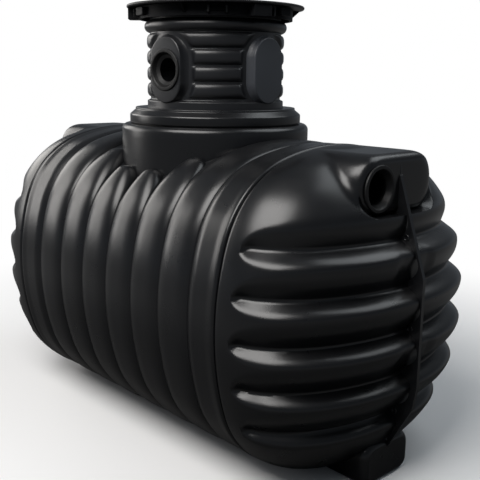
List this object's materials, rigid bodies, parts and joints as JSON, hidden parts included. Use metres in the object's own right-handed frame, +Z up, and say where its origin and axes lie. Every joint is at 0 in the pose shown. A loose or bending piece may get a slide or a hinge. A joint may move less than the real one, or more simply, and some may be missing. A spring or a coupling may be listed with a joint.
{
  "type": "underground water tank",
  "caption": "Horizontal ribbed plastic water tank for burying, with grooved domed ends, pipe sockets, a manhole neck, a ribbed riser and a flat round cover.",
  "frame": {"origin": "on the ground under the middle of the tank, where the feet rest", "axes": "+X along the tank to the near end, +Y across it away from the riser's pipe socket, +Z up"},
  "size_m": [2.036, 1.1104, 1.646],
  "materials": {
    "tank_plastic": "black blow-moulded polyethylene, satin",
    "riser_plastic": "black moulded polyethylene, satin",
    "cover_plastic": "black moulded polypropylene, dull",
    "seal_rubber": "black rubber, slightly glossy"
  },
  "bodies": {
    "root": {"barrel_rib_1": "tank_plastic", "barrel_rib_2": "tank_plastic", "barrel_rib_3": "tank_plastic", "barrel_rib_4": "tank_plastic", "barrel_rib_5": "tank_plastic", "barrel_rib_6": "tank_plastic", "near_end_band": "tank_plastic", "near_end_crown": "tank_plastic", "near_end_land_1": "tank_plastic", "near_end_land_2": "tank_plastic", "near_end_land_3": "tank_plastic", "near_end_land_4": "tank_plastic", "near_end_keel": "tank_plastic", "near_inlet_boss": "tank_plastic", "near_foot": "tank_plastic", "near_seam_fin": "tank_plastic", "near_inlet_seal": "seal_rubber", "far_end_band": "tank_plastic", "far_end_crown": "tank_plastic", "far_end_land_1": "tank_plastic", "far_end_land_2": "tank_plastic", "far_end_land_3": "tank_plastic", "far_end_land_4": "tank_plastic", "far_end_keel": "tank_plastic", "far_inlet_boss": "tank_plastic", "far_foot": "tank_plastic", "far_seam_fin": "tank_plastic", "far_inlet_seal": "seal_rubber", "neck": "tank_plastic", "neck_gasket": "seal_rubber", "collar_ring": "riser_plastic", "riser": "riser_plastic", "riser_pad_front": "riser_plastic", "riser_pad_near": "riser_plastic", "riser_pad_back": "riser_plastic", "riser_pad_far": "riser_plastic", "riser_pipe_seal": "seal_rubber", "cover_disc": "cover_plastic", "cover_skirt": "cover_plastic", "cover_lock_lugs": "cover_plastic"}
  },
  "joints": []
}
